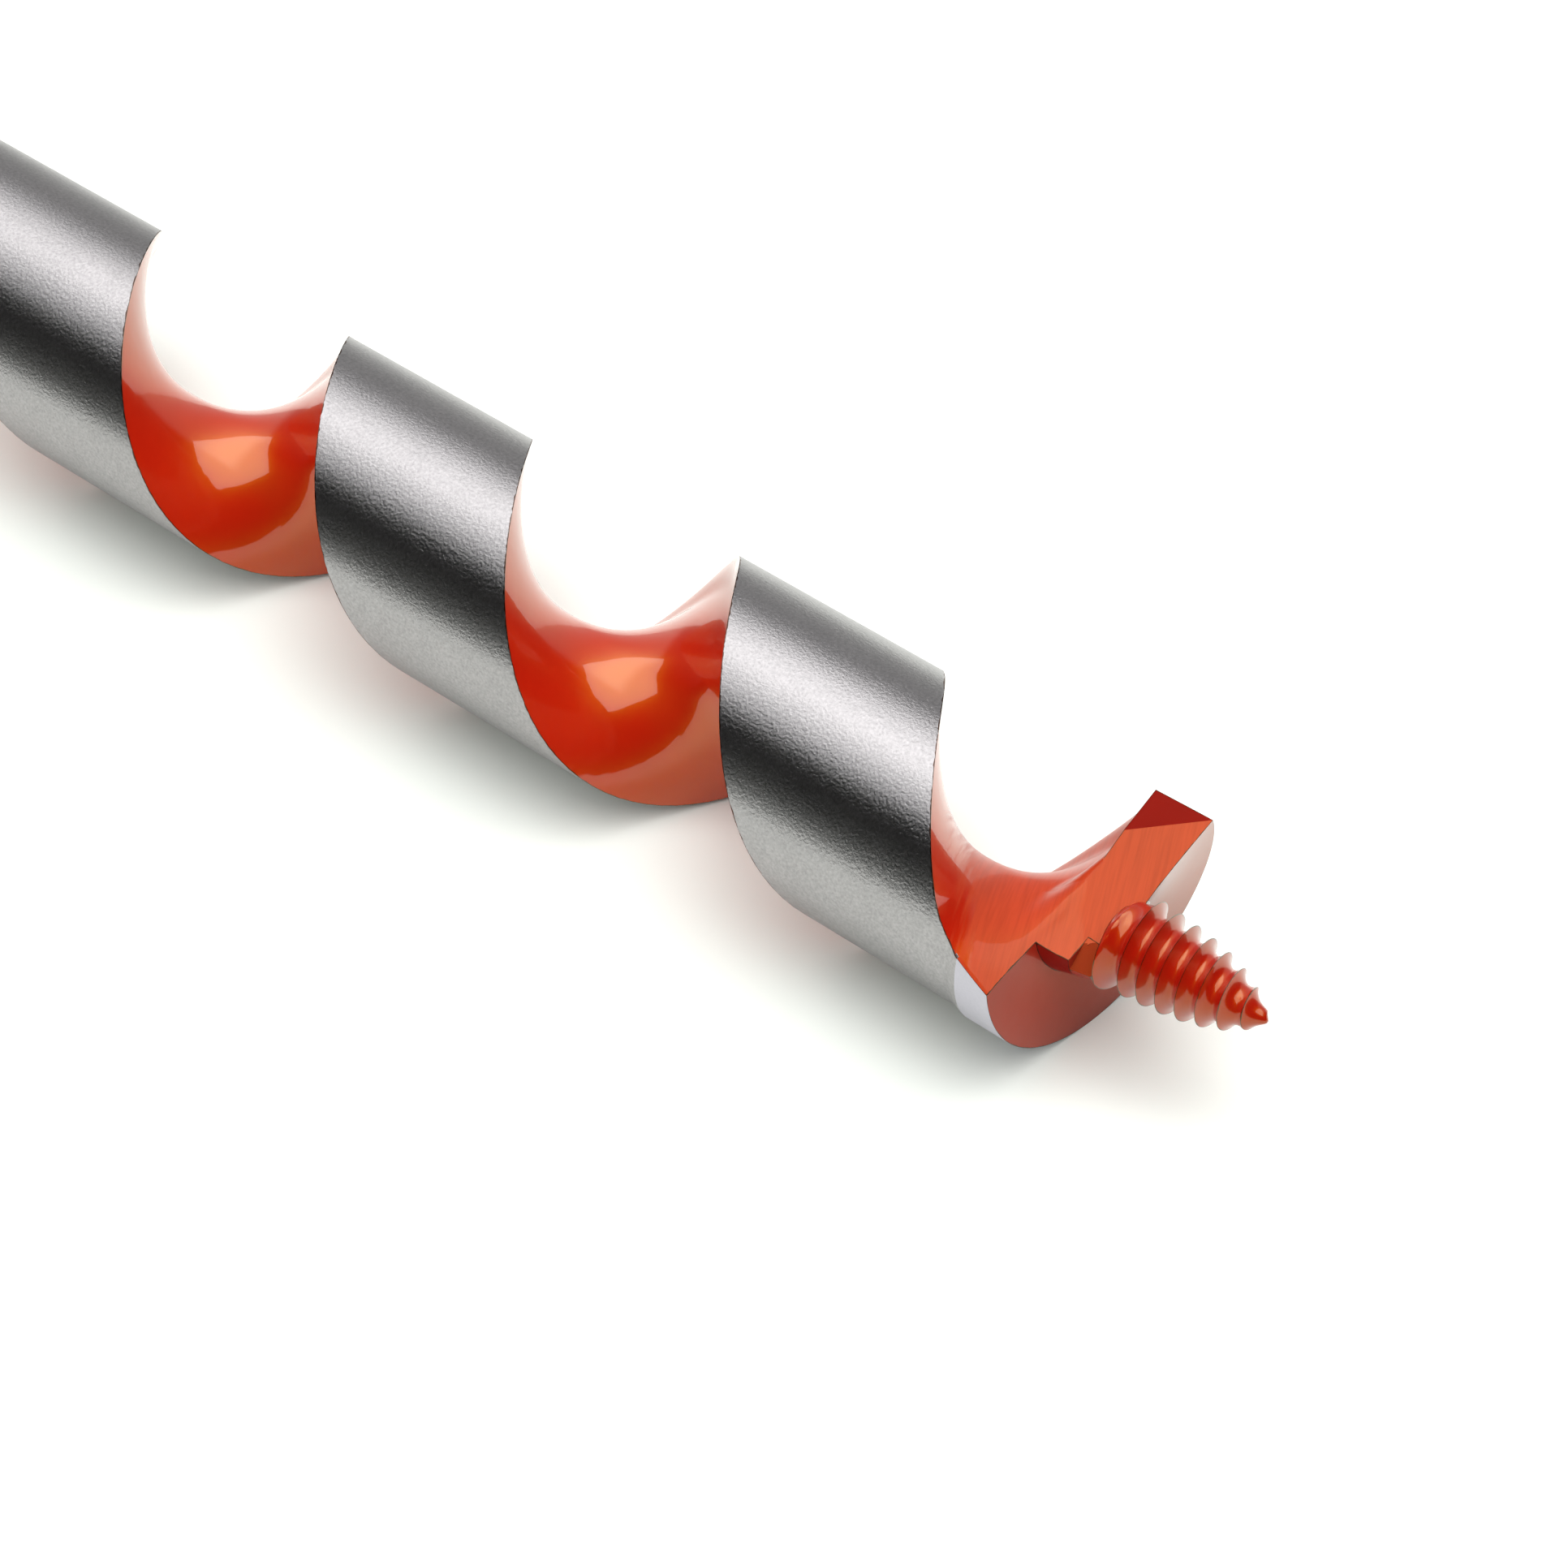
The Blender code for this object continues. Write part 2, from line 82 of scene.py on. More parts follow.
def at_clock(angle):
    """Unit direction across the axis: straight up at 0, turning right-handed about +X."""
    return Vector((0.0, -math.sin(angle), math.cos(angle)))


def smooth(share):
    share = min(max(share, 0.0), 1.0)
    return share * share * (3 - 2 * share)


def face_turn(x):
    """The way that the flute's face looks, at x from the seat of the head."""
    return SEAT_TURN + math.tau * x / PITCH


def leading_turn(x):
    """The same for the leading edge, which eases to a slower rate round -EASE_LENGTH."""
    begin = -EASE_LENGTH - EASE_BLEND
    share = min(max((x - begin) / (2 * EASE_BLEND), 0.0), 1.0)
    lost = share * share * EASE_BLEND + max(x + EASE_LENGTH - EASE_BLEND, 0.0)
    return face_turn(x) - math.tau / PITCH * (1 - EASE_SHARE) * lost


def face_height(across, rim=TWIST_RADIUS):
    """Height of the flute's face over the diameter, from -1 at the trailing edge to 1.  It is
    the same face where the rim stands proud, only cut further out."""
    lowest = -math.sqrt(1 - across ** 2) * rim
    across *= rim / TWIST_RADIUS
    edge = math.cos(EDGE_OFFSET) * TWIST_RADIUS
    height = edge + (FACE_CROWN - edge) * (1 - across ** FACE_POWER)
    if across < -HOLLOW_PLACE:
        share = (across + 1) / (1 - HOLLOW_PLACE)
    else:
        share = 1 - (across + HOLLOW_PLACE) / (HOLLOW_PLACE + HOLLOW_REACH)
    return max(height - HOLLOW_DEPTH * smooth(share), lowest)


def face_point(x, turn, across, height):
    return at_clock(turn + math.pi / 2) * across + at_clock(turn) * height + Vector((x, 0, 0))


def twist_point(around, x):
    """Point of the bar's section: around runs from -1 to 1 over the flute, then the land."""
    close = smooth((-TWIST_LENGTH - x) / RUNOUT_LENGTH)
    radius = TWIST_RADIUS + (NECK_RADIUS - TWIST_RADIUS) * close
    rim = radius + HEAD_PROUD * smooth((x + PROUD_BLEND) / PROUD_BLEND)
    if abs(around) <= 1:
        across = math.sin(around * math.pi / 2) * CIRCLE_SHARE + around * (1 - CIRCLE_SHARE)
        across *= math.sin(EDGE_OFFSET)
        turn = leading_turn(x) if across > 0 else face_turn(x)
        flute = face_height(across, max(rim, TWIST_RADIUS)) / TWIST_RADIUS
        height = flute + (math.sqrt(1 - across ** 2) - flute) * close
        return face_point(x, turn, across * rim, height * radius)
    first = leading_turn(x) + EDGE_OFFSET
    trail = face_turn(x) - EDGE_OFFSET + math.tau
    return at_clock(first + (trail - first) * (around - 1) / 2) * rim + Vector((x, 0, 0))


def only(kind, made):
    """The points, edges or faces among what an operator made."""
    return [item for item in made if isinstance(item, kind)]


def start_section(bm, steps, point, x):
    """Closed loop of points, each marked with its place around the section."""
    place = bm.verts.layers.float.new("around")
    loop = bmesh.ops.create_circle(bm, segments=steps, radius=1.0)["verts"]
    for vert in loop:
        vert[place] = ((math.atan2(vert.co.y, vert.co.x) / math.pi) * 2 + 4) % 4 - 1
        vert.co = point(vert[place], x)
    return bm.edges[:]


def draw_out(bm, rim, point, x):
    """Carries the section on to x."""
    place = bm.verts.layers.float["around"]
    made = bmesh.ops.extrude_edge_only(bm, edges=rim)["geom"]
    fresh = set(only(bmesh.types.BMVert, made))
    for vert in fresh:
        vert.co = point(vert[place], x)
    return [edge for edge in only(bmesh.types.BMEdge, made) if set(edge.verts) <= fresh]


def mark_edges(bm, sharp_angle=38.0, spacing=0.1 * MM, plain_end=0.01 * MM):
    """Keeps each point's distance to the nearest sharp edge, in millimetres.  The joint
    between twist and head, at x = 0, is no edge."""
    sharp = [edge for edge in bm.edges if len(edge.link_faces) == 2
             and edge.calc_face_angle(0.0) > math.radians(sharp_angle)
             and max(abs(vert.co.x) for vert in edge.verts) > plain_end]
    marks = []
    for edge in sharp:
        near, far = (vert.co for vert in edge.verts)
        count = max(1, math.ceil((far - near).length / spacing))
        marks += [near.lerp(far, (i + 0.5) / count) for i in range(count)]
    tree = kdtree.KDTree(len(marks))
    for i, mark in enumerate(marks):
        tree.insert(mark, i)
    tree.balance()
    layer = bm.verts.layers.float.new("from_edge")
    on_edge = {vert for edge in sharp for vert in edge.verts}
    for vert in bm.verts:
        vert[layer] = 0.0 if vert in on_edge else tree.find(vert.co)[2] / MM


def make_piece(name, bm, node, materials, crisp_angle=32.0):
    """Closed, outward-facing piece on the bit's axis, smooth but for its sharp edges."""
    for face in bm.faces:
        face.smooth = True
    for edge in bm.edges:
        finishes = {face.material_index for face in edge.link_faces}
        if edge.calc_face_angle(math.pi) > math.radians(crisp_angle) or len(finishes) > 1:
            edge.smooth = False
    bmesh.ops.translate(bm, verts=bm.verts, vec=SEAT)
    mesh = bpy.data.meshes.new(name)
    bm.to_mesh(mesh)
    bm.free()
    for material in materials:
        mesh.materials.append(material)
    made = bpy.data.objects.new(name, mesh)
    bpy.context.scene.collection.objects.link(made)
    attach(made, "root")
    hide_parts(node)


def colour(code):
    """Linear colour of an sRGB hex value."""
    parts = [int(code[i:i + 2], 16) / 255 for i in (1, 3, 5)]
    linear = [part / 12.92 if part <= 0.04045 else ((part + 0.055) / 1.055) ** 2.4
              for part in parts]
    return (*linear, 1.0)


def add(tree, kind, settings=(), links=()):
    """A node of that kind, with its settings and the links into its sockets."""
    node = tree.nodes.new(kind)
    for key, value in dict(settings).items():
        if isinstance(key, str) and hasattr(node, key):
            setattr(node, key, value)
        else:
            node.inputs[key].default_value = value
    for key, source in dict(links).items():
        tree.links.new(source, node.inputs[key])
    return node


def start_material(name, settings):
    """Material with its Principled shader set; returns it, its tree, shader and positions."""
    made = bpy.data.materials.new(name)
    made.use_nodes = True
    tree = made.node_tree
    shader = tree.nodes["Principled BSDF"]
    for key, value in settings.items():
        shader.inputs[key].default_value = value
    position = add(tree, "ShaderNodeTexCoord").outputs["Object"]
    return made, tree, shader, position


# Ground tool steel, blasted to a satin: a fine grain of pits, a third of a millimetre wide,
# breaks up a broad soft highlight.  The tone wanders a little along the bar.  The scale of
# each pattern here and below says how many of its waves go to the millimetre.
steel, tree, shader, position = start_material("satin_ground_steel", {
    "Base Color": colour("#adaaab"), "Metallic": 1.0, "Roughness": 0.4, "Anisotropic": 1.0})
grain = add(tree, "ShaderNodeTexNoise", {"Scale": 2.7 / MM, "Detail": 2.0, "Roughness": 0.6},
            {"Vector": position})
cloud = add(tree, "ShaderNodeTexNoise", {"Scale": 0.14 / MM, "Detail": 3.0}, {"Vector": position})
shift = add(tree, "ShaderNodeMapRange", {"To Min": 0.6, "To Max": 1.4},
            {"Value": grain.outputs["Fac"]})
drift = add(tree, "ShaderNodeMapRange", {"To Min": 0.95, "To Max": 1.05},
            {"Value": cloud.outputs["Fac"]})
tone = add(tree, "ShaderNodeMath", {"operation": "MULTIPLY"},
           {0: shift.outputs["Result"], 1: drift.outputs["Result"]})
ground = add(tree, "ShaderNodeMix", {"data_type": "RGBA", "blend_type": "MULTIPLY",
                                     "Factor": 1.0, "A": colour("#adaaab")},
             {"B": tone.outputs["Value"]})
edge = add(tree, "ShaderNodeAttribute", {"attribute_name": "from_edge"})
wear = add(tree, "ShaderNodeTexNoise", {"Scale": 0.9 / MM, "Detail": 4.0}, {"Vector": position})
ragged = add(tree, "ShaderNodeMath", {"operation": "MULTIPLY_ADD", 1: -0.5, 2: 0.36},
             {0: wear.outputs["Fac"]})
beside = add(tree, "ShaderNodeMath", {"operation": "LESS_THAN"},
             {0: edge.outputs["Fac"], 1: ragged.outputs["Value"]})
bare = add(tree, "ShaderNodeMix", {"data_type": "RGBA", "B": colour("#5a443c")},
           {"Factor": beside.outputs["Value"], "A": ground.outputs["Result"]})
tree.links.new(bare.outputs["Result"], shader.inputs["Base Color"])
rough = add(tree, "ShaderNodeMapRange", {"To Min": 0.35, "To Max": 0.45},
            {"Value": grain.outputs["Fac"]})
tree.links.new(rough.outputs["Result"], shader.inputs["Roughness"])
pits = add(tree, "ShaderNodeBump", {"Strength": 0.8, "Distance": 0.06 * MM},
           {"Height": grain.outputs["Fac"]})
tree.links.new(pits.outputs["Normal"], shader.inputs["Normal"])
lengthwise = add(tree, "ShaderNodeCombineXYZ", {"X": 1.0})
tree.links.new(lengthwise.outputs["Vector"], shader.inputs["Tangent"])

# Red stoving lacquer, dipped and baked: a glossy coat with an orange peel 2.4 mm across.  At
# each sharp edge it is thin, dark and chipped, over line_width in millimetres.  On freshly
# ground faces it thins out from begin to end along a way, in streaks that follow the
# grinding, and its body shows lighter there.
PEEL = 0.06 * MM
FINE_PEEL = 0.03 * MM
GRINDING_WAY = (0.93, 0.37, 0.0)            # across the streaks
STREAK_STRETCH = 0.1


def red_lacquer(name, body, coat, peel_height, line_width, thinning=None):
    """The lacquer in one of its thicknesses; thinning says the way that it thins out, from
    where to where, the coat and the body's colour there, and how its streaks look."""
    made, tree, shader, position = start_material(name, {
        "Roughness": 0.3, "IOR": 1.5, "Specular IOR Level": coat,
        "Specular Tint": colour("#ffcf28"), "Coat Weight": coat, "Coat Roughness": 0.05,
        "Coat IOR": 1.5})
    cloud = add(tree, "ShaderNodeTexNoise", {"Scale": 0.16 / MM, "Detail": 3.0},
                {"Vector": position})
    depth = add(tree, "ShaderNodeMapRange", {"To Min": 0.9, "To Max": 1.1},
                {"Value": cloud.outputs["Fac"]})
    paint = add(tree, "ShaderNodeMix", {"data_type": "RGBA", "blend_type": "MULTIPLY",
                                        "Factor": 1.0, "A": colour(body)},
                {"B": depth.outputs["Result"]})
    if thinning:
        where = add(tree, "ShaderNodeVectorMath",
                    {"operation": "DOT_PRODUCT", 1: thinning["way"]}, {0: position})
        across = add(tree, "ShaderNodeVectorMath",
                     {"operation": "DOT_PRODUCT", 1: GRINDING_WAY}, {0: position})
        stretch = add(tree, "ShaderNodeVectorMath",
                      {"operation": "SCALE", "Scale": STREAK_STRETCH}, {0: position})
        lined = add(tree, "ShaderNodeVectorMath", {"operation": "ADD"},
                    {0: stretch.outputs["Vector"], 1: across.outputs["Value"]})
        streaks = add(tree, "ShaderNodeTexNoise", {"Scale": 1.8 / MM, "Detail": 3.0},
                      {"Vector": lined.outputs["Vector"]})
        shift = add(tree, "ShaderNodeMapRange",
                    {"To Min": -thinning["ragged"], "To Max": thinning["ragged"]},
                    {"Value": streaks.outputs["Fac"]})
        along = add(tree, "ShaderNodeMath", {"operation": "ADD"},
                    {0: where.outputs["Value"], 1: shift.outputs["Result"]})
        thickness = add(tree, "ShaderNodeMapRange",
                        {"interpolation_type": "SMOOTHSTEP", "From Min": thinning["begin"],
                         "From Max": thinning["end"], "To Min": coat,
                         "To Max": thinning["coat"]},
                        {"Value": along.outputs["Value"]})
        tree.links.new(thickness.outputs["Result"], shader.inputs["Coat Weight"])
        tree.links.new(thickness.outputs["Result"], shader.inputs["Specular IOR Level"])
        cover = add(tree, "ShaderNodeMapRange",
                    {"From Min": 0.0, "From Max": max(coat, thinning["coat"])},
                    {"Value": thickness.outputs["Result"]})
        lines = add(tree, "ShaderNodeMapRange",
                    {"From Min": 0.3, "From Max": 0.6,
                     "To Min": 1 - thinning["contrast"], "To Max": 1.04},
                    {"Value": streaks.outputs["Fac"]})
        thin = add(tree, "ShaderNodeMix", {"data_type": "RGBA", "blend_type": "MULTIPLY",
                                           "Factor": 1.0, "A": colour(thinning["body"])},
                   {"B": lines.outputs["Result"]})
        tint = add(tree, "ShaderNodeMix", {"data_type": "RGBA", "B": colour(body)},
                   {"Factor": cover.outputs["Result"], "A": thin.outputs["Result"]})
        tree.links.new(tint.outputs["Result"], paint.inputs["A"])
    edge = add(tree, "ShaderNodeAttribute", {"attribute_name": "from_edge"})
    wear = add(tree, "ShaderNodeTexNoise", {"Scale": 1.1 / MM, "Detail": 4.0},
               {"Vector": position})
    ragged = add(tree, "ShaderNodeMath",
                 {"operation": "MULTIPLY_ADD", 1: line_width * 1.2, 2: -line_width * 0.1},
                 {0: wear.outputs["Fac"]})
    line = add(tree, "ShaderNodeMath", {"operation": "LESS_THAN"},
               {0: edge.outputs["Fac"], 1: ragged.outputs["Value"]})
    worn = add(tree, "ShaderNodeMix", {"data_type": "RGBA", "B": colour("#3a140c")},
               {"Factor": line.outputs["Value"], "A": paint.outputs["Result"]})
    tree.links.new(worn.outputs["Result"], shader.inputs["Base Color"])
    peel = add(tree, "ShaderNodeTexNoise", {"Scale": 0.42 / MM, "Detail": 1.0},
               {"Vector": position})
    skin = add(tree, "ShaderNodeBump", {"Strength": 0.3, "Distance": peel_height},
               {"Height": peel.outputs["Fac"]})
    tree.links.new(skin.outputs["Normal"], shader.inputs["Normal"])
    tree.links.new(skin.outputs["Normal"], shader.inputs["Coat Normal"])
    return made


FRESH_WAY = (0.779, 0.627, 0.0)             # towards the freshly ground part of the flute
fresh = FRESH_WAY[0] * SEAT.x
lacquer = red_lacquer("red_stoved_lacquer", "#af1609", coat=1.0, peel_height=PEEL,
                      line_width=0.16,
                      thinning={"way": FRESH_WAY, "begin": fresh - 10.5 * MM,
                                "end": fresh - 7.5 * MM, "coat": 0.22, "body": "#b03f22",
                                "ragged": 4.0 * MM, "contrast": 0.16})

bm = bmesh.new()
rim = start_section(bm, SECTION_STEPS, twist_point, 0.0)
eased = EASE_LENGTH + EASE_BLEND
for i in range(1, EASE_STEPS + 1):
    rim = draw_out(bm, rim, twist_point, -eased * i / EASE_STEPS)
plain = TWIST_LENGTH - eased
steps = round(plain / STEP)
# The section turns evenly all the way to the run-out.
spun = bmesh.ops.spin(bm, geom=rim, cent=(0, 0, 0), axis=(1, 0, 0), steps=steps,
                      angle=-math.tau * plain / PITCH, dvec=(-plain / steps, 0, 0))
rim = only(bmesh.types.BMEdge, spun["geom_last"])
# There the flute closes, and the bar goes on round to the weld.
for i in range(1, round(RUNOUT_LENGTH / STEP) + 1):
    rim = draw_out(bm, rim, twist_point, -TWIST_LENGTH - i * STEP)
made = bmesh.ops.extrude_edge_only(bm, edges=rim)["geom"]
bmesh.ops.translate(bm, verts=only(bmesh.types.BMVert, made),
                    vec=(WELD_X + TWIST_LENGTH + RUNOUT_LENGTH, 0, 0))
bmesh.ops.remove_doubles(bm, verts=bm.verts, dist=JOIN)
bmesh.ops.holes_fill(bm, edges=[edge for edge in bm.edges if edge.is_boundary], sides=0)
bmesh.ops.recalc_face_normals(bm, faces=bm.faces)
mark_edges(bm)
for face in bm.faces:
    middle = face.calc_center_median()
    on_land = min(math.hypot(vert.co.y, vert.co.z) for vert in face.verts) > LAND_FROM
    face.material_index = 0 if on_land or middle.x < -TWIST_LENGTH - RUNOUT_LENGTH else 1
make_piece("twisted_bar", bm, "twist_body", [steel, lacquer])


# ---- Cutting head ----------------------------------------------------------------------------
# The forged end of the bar, a little larger than the twist, ground on its end to a spiral
# clearance ramp that rises to one cutting lip.  A flat rake face and a short facet are ground
# behind the lip, before the dip.  A coned boss in the middle carries the screw.

HEAD_RADIUS = TWIST_RADIUS + HEAD_PROUD
RAKE_TURN = SEAT_TURN + math.radians(26.9)
RAKE_RISE = 1.36 * MM
CREASE_START = -3.1 * MM
CREASE_END = 3.3 * MM
WING_BACK = 4.0 * MM
WING_RISE = 1.1 * MM
WING_LEAN = math.radians(2.7)
WING_FACET = 5.9 * MM
LOW_END = 4.25 * MM
LIP_HEIGHT = 11.75 * MM
LIP_DISH = 1.6 * MM
LIP_ANGLE = RAKE_TURN - math.pi / 2 + math.asin(RAKE_RISE / HEAD_RADIUS)
LIP_CORNER = math.sqrt(HEAD_RADIUS ** 2 - RAKE_RISE ** 2)
BOSS_RADIUS = 7.1 * MM
BOSS_CONE = 3.9 * MM                        # the boss tapers from here to its end
BOSS_END_RADIUS = 6.1 * MM
SCREW_SEAT = 7.8 * MM
SCREW_NECK_RADIUS = 3.3 * MM
SCREW_NECK_LENGTH = 1.1 * MM
FACET_SHARE = 0.2                           # of the trailing half's points, on the facet
FACET_PLACE = 0.8                           # of the radius, where the facet's fold starts
CREASE_FALL = 3.0                           # how fast the flute falls away from the crease
CREASE_SHARPEN = 4.5                        # and how much faster at the front
SHARPEN_FROM = 3.0 * MM
SHARPEN_LENGTH = 3.8 * MM
WING_FADE = 1.2                             # how soon the wing's back turns soft inwards
RAMP_LEAD_IN = math.radians(40)             # the grinding runs on before the low end
RAMP_LEAD_OUT = math.radians(14)            # and past the lip
RAMP_INNER = 0.8                            # of the screw's neck
RAMP_OUTER = 1.3                            # of the head
RAMP_RADIAL_STEPS = 24
BOSS_CONE_STEPS = 16
HEAD_SECTION_STEPS = 240
HEAD_STEP = 0.2 * MM
RAMP_STEPS = 160
RING_FROM = HEAD_RADIUS * 0.998             # points as far out as this are on the ring
FACET_LEAN = (-0.2, -0.04)                  # how far back the facet looks, most and least
MOSTLY, SQUARELY = 0.9, 0.99                # what counts as looking one way
OUTWARD = 0.8                               # and as looking away from the axis
NEAR = 0.01 * MM
TURNED_STEPS = 96


def wing_share(x):
    """From 0 at the back of the wing to 1 at the lip."""
    return min(max((x - WING_BACK) / (LIP_HEIGHT - WING_BACK), 0.0), 1.0)


def rake_crease(x):
    """Where the flat rake face borders on the leading half of the flute."""
    share = min(max((x - WING_BACK) / (SCREW_SEAT - WING_BACK), 0.0), 1.0)
    return face_point(x, RAKE_TURN, CREASE_START + (CREASE_END - CREASE_START) * share, RAKE_RISE)


def head_point(around, x):
    """Point of the head's section: the trailing half of the face up to the crease, from -1
    to 0, its leading half, from 0 to 1, and then the land."""
    lead = leading_turn(x)
    if around > 1:
        wing = smooth((x - WING_BACK + WING_RISE) / WING_RISE)
        trail = face_turn(min(x, WING_BACK)) - EDGE_OFFSET
        trail += (LIP_ANGLE - WING_LEAN * (1 - wing_share(x)) - trail) * wing + math.tau
        first = lead + EDGE_OFFSET
        return (at_clock(first + (trail - first) * (around - 1) / 2) * HEAD_RADIUS
                + Vector((x, 0, 0)))
    crease = rake_crease(x)
    if around <= 0:
        inward = around + 1
        fold_at = LIP_CORNER - WING_FACET * (1 - wing_share(x))
        rim = head_point(3, x)
        fold = face_point(x, RAKE_TURN, -fold_at, RAKE_RISE)
        if inward < FACET_SHARE:
            share, across = 0.0, -1 + (1 - FACET_PLACE) * inward / FACET_SHARE
            flat = rim.lerp(fold, inward / FACET_SHARE)
        else:
            share = (inward - FACET_SHARE) / (1 - FACET_SHARE)
            across = -FACET_PLACE * (1 - share)
            flat = fold.lerp(crease, share)
        start = (WING_BACK - WING_RISE) * (1 - share)
        rise = min(max((x - start) / (WING_BACK - start), 0.0), 1.0)
        # The wing's back is steep and sharp at the rim, and fades out towards the axis.
        rise = rise ** 2 + (smooth(rise) - rise ** 2) * smooth(share * WING_FADE)
        turn = min(face_turn(x), RAKE_TURN)
        across *= math.sin(EDGE_OFFSET)
        twisted = face_point(x, turn, across * HEAD_RADIUS, face_height(across, HEAD_RADIUS))
        return twisted.lerp(flat, rise)
    out = at_clock(lead + math.pi / 2)
    middle = head_point(0, x) - Vector((x, 0, 0))
    start = middle.dot(out) / HEAD_RADIUS
    excess = middle.dot(at_clock(lead)) - face_height(start, HEAD_RADIUS)
    across = start + (math.sin(EDGE_OFFSET) - start) * around
    fall = CREASE_FALL + CREASE_SHARPEN * smooth((x - SHARPEN_FROM) / SHARPEN_LENGTH)
    height = face_height(across, HEAD_RADIUS) + excess * (1 - around) ** fall
    return face_point(x, lead, across * HEAD_RADIUS, height)


def combine(bm, other, operation):
    """The first form joined with the other or cut by it; both are used up."""
    pair = []
    for form in (bm, other):
        mesh = bpy.data.meshes.new("form")
        bmesh.ops.recalc_face_normals(form, faces=form.faces)
        form.to_mesh(mesh)
        form.free()
        pair.append(bpy.data.objects.new("form", mesh))
        bpy.context.scene.collection.objects.link(pair[-1])
    cut = pair[0].modifiers.new("cut", "BOOLEAN")
    cut.operation = operation
    cut.object = pair[1]
    cut.solver = "EXACT"
    bpy.context.view_layer.update()
    done = pair[0].evaluated_get(bpy.context.evaluated_depsgraph_get())
    result = bmesh.new()
    result.from_mesh(done.to_mesh())
    for used in pair:
        bpy.data.meshes.remove(used.data)
    return result


def turned(profile):
    """Solid turned about the axis from a profile of (x, radius), which ends on the axis."""
    form = bmesh.new()
    points = [form.verts.new((x, 0.0, radius)) for x, radius in profile]
    line = [form.edges.new(pair) for pair in zip(points, points[1:])]
    bmesh.ops.spin(form, geom=points + line, cent=(0, 0, 0), axis=(1, 0, 0), angle=math.tau,
                   steps=TURNED_STEPS, use_merge=True)
    bmesh.ops.remove_doubles(form, verts=form.verts, dist=JOIN)
    return form


def ramp_block():
    """What is ground away ahead of the spiral ramp, all but the boss."""
    low_angle = leading_turn(LOW_END) + EDGE_OFFSET
    lip_angle = LIP_ANGLE + math.tau
    first = low_angle - RAMP_LEAD_IN
    last = lip_angle + RAMP_LEAD_OUT
    inner, outer = SCREW_NECK_RADIUS * RAMP_INNER, HEAD_RADIUS * RAMP_OUTER
    radii = [inner + (outer - inner) * i / RAMP_RADIAL_STEPS
             for i in range(RAMP_RADIAL_STEPS + 1)]
    form = bmesh.new()

    def profile(angle):
        share = (angle - low_angle) / (lip_angle - low_angle)
        rim = LOW_END + (LIP_HEIGHT - LOW_END) * share
        out = at_clock(angle)
        line = [out * radius + Vector((rim - LIP_DISH * share * (1 - radius / HEAD_RADIUS), 0, 0))
                for radius in radii]
        top = LIP_HEIGHT + SCREW_SEAT
        return line + [Vector((top, line[-1].y, line[-1].z)), Vector((top, line[0].y, line[0].z))]

    points = [form.verts.new(point) for point in profile(first)]
    rim = [form.edges.new(pair) for pair in zip(points, points[1:] + points[:1])]
    form.faces.new(points)
    for i in range(1, RAMP_STEPS + 1):
        made = bmesh.ops.extrude_edge_only(form, edges=rim)["geom"]
        fresh = only(bmesh.types.BMVert, made)
        rim = [edge for edge in only(bmesh.types.BMEdge, made) if set(edge.verts) <= set(fresh)]
        for vert, point in zip(fresh, profile(first + (last - first) * i / RAMP_STEPS)):
            vert.co = point
    bmesh.ops.holes_fill(form, edges=rim, sides=0)
    cone = [(SCREW_SEAT + (BOSS_CONE - SCREW_SEAT) * i / BOSS_CONE_STEPS,
             BOSS_END_RADIUS + (BOSS_RADIUS - BOSS_END_RADIUS) * i / BOSS_CONE_STEPS)
            for i in range(BOSS_CONE_STEPS + 1)]
    boss = turned([(SCREW_SEAT, 0.0)] + cone + [(-SCREW_SEAT, BOSS_RADIUS), (-SCREW_SEAT, 0.0)])
    return combine(form, boss, "DIFFERENCE")


bm = bmesh.new()
rim = start_section(bm, HEAD_SECTION_STEPS, head_point, 0.0)
stations = [HEAD_STEP * i for i in range(1, round(WING_BACK / HEAD_STEP) + 1)]
span = LIP_HEIGHT + WING_RISE - WING_BACK
count = math.ceil(span / (2 * HEAD_STEP))
stations += [WING_BACK + span * i / count for i in range(1, count + 1)]
for x in stations:
    rim = draw_out(bm, rim, head_point, x)
bmesh.ops.holes_fill(bm, edges=[edge for edge in bm.edges if edge.is_boundary], sides=0)
bm = combine(bm, ramp_block(), "DIFFERENCE")
bmesh.ops.remove_doubles(bm, verts=bm.verts, dist=CUT_JOIN)
mark_edges(bm)
bm.normal_update()
# Each face gets its finish from its place and the way that it looks; on the boss and the seat
# that finish is painted shade.
for face in bm.faces:
    middle = face.calc_center_median()
    on_land = min(math.hypot(vert.co.y, vert.co.z) for vert in face.verts) > RING_FROM
    on_facet = (FACET_LEAN[0] < face.normal.x < FACET_LEAN[1] and face.normal.z > MOSTLY
                and min(vert.co.x for vert in face.verts) > WING_BACK - NEAR)
    on_seat = face.normal.x > SQUARELY and abs(middle.x - SCREW_SEAT) < NEAR
    on_ramp = face.normal.x > MOSTLY and not on_seat
    out = math.hypot(middle.y, middle.z)
    on_boss = (0.95 * BOSS_END_RADIUS < out < 1.01 * BOSS_RADIUS
               and middle.y * face.normal.y + middle.z * face.normal.z > OUTWARD * out)
    # Index 2 is the dark lacquer of the facet, and painted shade on the boss; index 4 is painted
    # corner shade on the seat.
    face.material_index = (1 if on_land else 2 if on_facet or on_boss else 3 if on_ramp
                           else 4 * on_seat)

